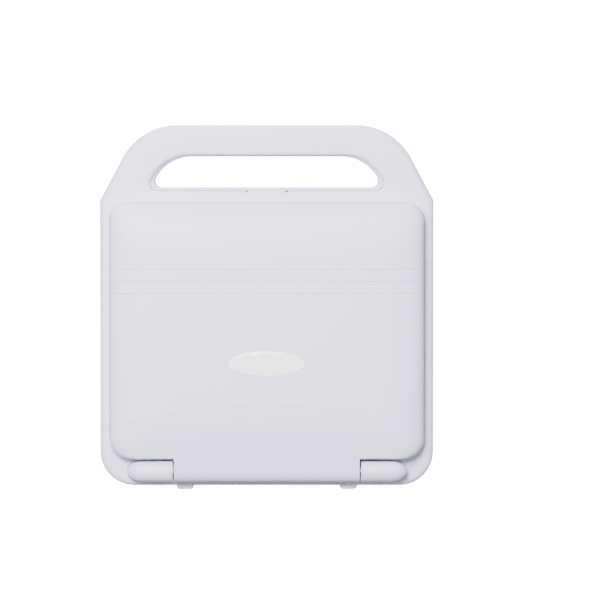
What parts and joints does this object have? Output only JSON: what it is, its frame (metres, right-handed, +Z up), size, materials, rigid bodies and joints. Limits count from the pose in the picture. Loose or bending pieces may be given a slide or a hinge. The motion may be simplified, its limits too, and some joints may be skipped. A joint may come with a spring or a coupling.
{
  "type": "portable ultrasound machine",
  "caption": "Closed clamshell portable ultrasound machine with a built-in carry handle, standing on its hinge end; the lid opens on its hinge.",
  "frame": {"origin": "centre of the footprint on the plane under the standing feet", "axes": "+X to the right as seen from the lid side, +Y from the lid towards the underside, +Z up from the hinge end to the carry handle"},
  "size_m": [0.32, 0.0806, 0.35],
  "materials": {
    "shell": "fine-textured white moulded ABS",
    "badge": "gloss white",
    "deck": "fine-textured grey moulded ABS",
    "keys": "satin key caps",
    "keys_dark": "satin key caps",
    "accent_blue": "satin key cap",
    "accent_green": "satin button",
    "ball": "polished phenolic ball",
    "dark_plastic": "satin dark plastic",
    "rubber": "moulded rubber",
    "steel": "zinc-plated steel",
    "brass": "gold-plated contacts",
    "aluminium": "extruded aluminium",
    "board": "green solder resist",
    "glass": "dark anti-glare glass",
    "panel_steel": "metal-framed display module"
  },
  "bodies": {
    "base": {"front_housing": "shell", "rear_housing": "shell", "control_panel": "deck", "hinge_cover_left": "shell", "hinge_cover_right": "shell", "hinge_brackets": "steel", "stand_feet": "rubber", "desk_feet": "rubber", "housing_screws": "steel", "battery_door": "shell", "battery_pack": "dark_plastic", "main_board": "board", "front_end_board": "board", "power_board": "board", "heat_sink": "aluminium", "fan_frame": "dark_plastic", "speaker": "dark_plastic", "key_board": "board", "trackball_cup": "dark_plastic", "trackball_ring": "deck", "gain_encoder": "steel", "slider_tracks": "steel", "probe_socket": "dark_plastic", "port_panel": "dark_plastic", "port_connectors": "steel", "earth_stud": "brass", "latch_springs": "steel"},
    "lid": {"lid_cover": "shell", "lid_badge": "badge", "lid_bezel": "deck", "display_panel": "panel_steel", "screen_window": "glass", "backlight_board": "board", "lid_bumpers": "rubber", "latch_tongue": "steel", "hinge_arms": "steel", "hinge_pins": "steel", "lid_screws": "steel"},
    "latch_slider": {"latch_slider": "shell"},
    "battery_latch": {"battery_latch": "deck"},
    "probe_lock": {"probe_lock": "deck"},
    "power_button": {"power_button": "accent_green"},
    "key_row_1": {"key_row_1": "keys"},
    "key_row_2": {"key_row_2": "keys"},
    "key_row_3": {"key_row_3": "keys"},
    "key_row_4": {"key_row_4": "keys"},
    "function_keys": {"function_keys": "keys_dark"},
    "mode_keys_left": {"mode_keys_left": "keys_dark"},
    "mode_keys_right": {"mode_keys_right": "keys_dark"},
    "select_keys": {"select_keys": "keys_dark"},
    "freeze_key": {"freeze_key": "accent_blue"},
    "trackball": {"trackball": "ball"},
    "gain_knob": {"gain_knob": "dark_plastic"},
    "gain_slider_1": {"gain_slider_1": "dark_plastic"},
    "gain_slider_2": {"gain_slider_2": "dark_plastic"},
    "gain_slider_3": {"gain_slider_3": "dark_plastic"},
    "gain_slider_4": {"gain_slider_4": "dark_plastic"},
    "gain_slider_5": {"gain_slider_5": "dark_plastic"},
    "gain_slider_6": {"gain_slider_6": "dark_plastic"},
    "fan_rotor": {"fan_rotor": "dark_plastic"}
  },
  "joints": [
    {"name": "lid_hinge", "type": "hinge", "parent": "base", "child": "lid", "pos_m": [0, -0.0217, 0.019], "axis": [1, 0, 0], "range_deg": [0, 135]},
    {"name": "latch_press", "type": "slide", "parent": "base", "child": "latch_slider", "axis": [0, 0, -1], "range_m": [0, 0.0022], "stiffness_N_per_m": 1500, "springref_m": -0.002, "deforming": ["latch_springs"]},
    {"name": "power_press", "type": "slide", "parent": "base", "child": "power_button", "axis": [0, 1, 0], "range_m": [0, 0.0015], "stiffness_N_per_m": 400, "springref_m": -0.001},
    {"name": "key_row_1_press", "type": "slide", "parent": "base", "child": "key_row_1", "axis": [0, 1, 0], "range_m": [0, 0.0015], "stiffness_N_per_m": 400, "springref_m": -0.001},
    {"name": "key_row_2_press", "type": "slide", "parent": "base", "child": "key_row_2", "axis": [0, 1, 0], "range_m": [0, 0.0015], "stiffness_N_per_m": 400, "springref_m": -0.001},
    {"name": "key_row_3_press", "type": "slide", "parent": "base", "child": "key_row_3", "axis": [0, 1, 0], "range_m": [0, 0.0015], "stiffness_N_per_m": 400, "springref_m": -0.001},
    {"name": "key_row_4_press", "type": "slide", "parent": "base", "child": "key_row_4", "axis": [0, 1, 0], "range_m": [0, 0.0015], "stiffness_N_per_m": 400, "springref_m": -0.001},
    {"name": "function_keys_press", "type": "slide", "parent": "base", "child": "function_keys", "axis": [0, 1, 0], "range_m": [0, 0.0015], "stiffness_N_per_m": 400, "springref_m": -0.001},
    {"name": "mode_keys_left_press", "type": "slide", "parent": "base", "child": "mode_keys_left", "axis": [0, 1, 0], "range_m": [0, 0.0015], "stiffness_N_per_m": 400, "springref_m": -0.001},
    {"name": "mode_keys_right_press", "type": "slide", "parent": "base", "child": "mode_keys_right", "axis": [0, 1, 0], "range_m": [0, 0.0015], "stiffness_N_per_m": 400, "springref_m": -0.001},
    {"name": "select_keys_press", "type": "slide", "parent": "base", "child": "select_keys", "axis": [0, 1, 0], "range_m": [0, 0.0015], "stiffness_N_per_m": 400, "springref_m": -0.001},
    {"name": "freeze_key_press", "type": "slide", "parent": "base", "child": "freeze_key", "axis": [0, 1, 0], "range_m": [0, 0.0015], "stiffness_N_per_m": 400, "springref_m": -0.001},
    {"name": "trackball_roll", "type": "hinge", "parent": "base", "child": "trackball", "pos_m": [0, 0.0043, 0.2195], "axis": [1, 0, 0], "continuous": true},
    {"name": "gain_turn", "type": "hinge", "parent": "base", "child": "gain_knob", "pos_m": [-0.10411, -0.0111, 0.2195], "axis": [0, 1, 0], "continuous": true},
    {"name": "fan_spin", "type": "hinge", "parent": "base", "child": "fan_rotor", "pos_m": [-0.152, 0.0193, 0.20001], "axis": [1, 0, 0], "continuous": true},
    {"name": "gain_slider_1_shift", "type": "slide", "parent": "base", "child": "gain_slider_1", "axis": [1, 0, 0], "range_m": [-0.014, 0.014]},
    {"name": "gain_slider_2_shift", "type": "slide", "parent": "base", "child": "gain_slider_2", "axis": [1, 0, 0], "range_m": [-0.014, 0.014]},
    {"name": "gain_slider_3_shift", "type": "slide", "parent": "base", "child": "gain_slider_3", "axis": [1, 0, 0], "range_m": [-0.014, 0.014]},
    {"name": "gain_slider_4_shift", "type": "slide", "parent": "base", "child": "gain_slider_4", "axis": [1, 0, 0], "range_m": [-0.014, 0.014]},
    {"name": "gain_slider_5_shift", "type": "slide", "parent": "base", "child": "gain_slider_5", "axis": [1, 0, 0], "range_m": [-0.014, 0.014]},
    {"name": "gain_slider_6_shift", "type": "slide", "parent": "base", "child": "gain_slider_6", "axis": [1, 0, 0], "range_m": [-0.014, 0.014]},
    {"name": "battery_release", "type": "slide", "parent": "base", "child": "battery_latch", "axis": [0, 0, 1], "range_m": [0, 0.003], "stiffness_N_per_m": 500, "springref_m": -0.001},
    {"name": "probe_lock_shift", "type": "slide", "parent": "base", "child": "probe_lock", "axis": [0, 0, 1], "range_m": [0, 0.005]}
  ]
}
